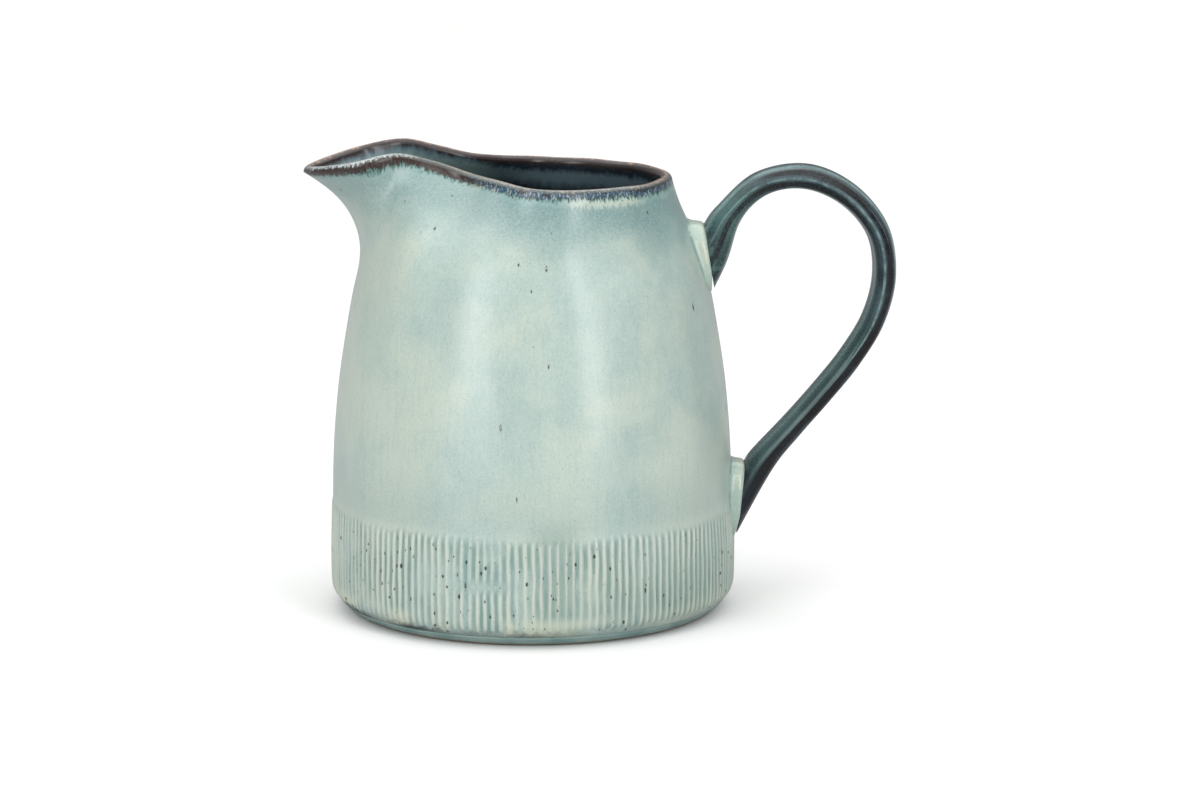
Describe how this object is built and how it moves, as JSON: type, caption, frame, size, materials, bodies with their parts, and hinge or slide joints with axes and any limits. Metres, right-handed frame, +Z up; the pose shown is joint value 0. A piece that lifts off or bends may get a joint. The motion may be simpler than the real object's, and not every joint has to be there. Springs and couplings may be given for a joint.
{
  "type": "ceramic pitcher",
  "caption": "Glazed stoneware pitcher: round body with a ribbed foot band, a pulled pouring lip with a pinched throat, and an ear-shaped strap handle luted on to clay pads.",
  "frame": {"origin": "middle of the flat underside, on the axis of the round body", "axes": "+Z up along the body's axis, -X towards the pouring lip, +X towards the handle, XZ the plane of symmetry"},
  "size_m": [0.2048, 0.14, 0.161],
  "materials": {
    "body_glaze": "glossy reactive celadon glaze, breaking to brown at the lip",
    "bare_clay": "matt unglazed stoneware underneath, thin grey glaze on its edge and deep teal on the floor inside",
    "pad_glaze": "glossy pale cream-green glaze",
    "handle_glaze": "glossy deep teal and iron-black glaze, breaking to pale green on its ridges"
  },
  "bodies": {
    "root": {"jug_body": "body_glaze", "base_disc": "bare_clay", "upper_handle_pad": "pad_glaze", "lower_handle_pad": "pad_glaze", "handle": "handle_glaze"}
  },
  "joints": []
}
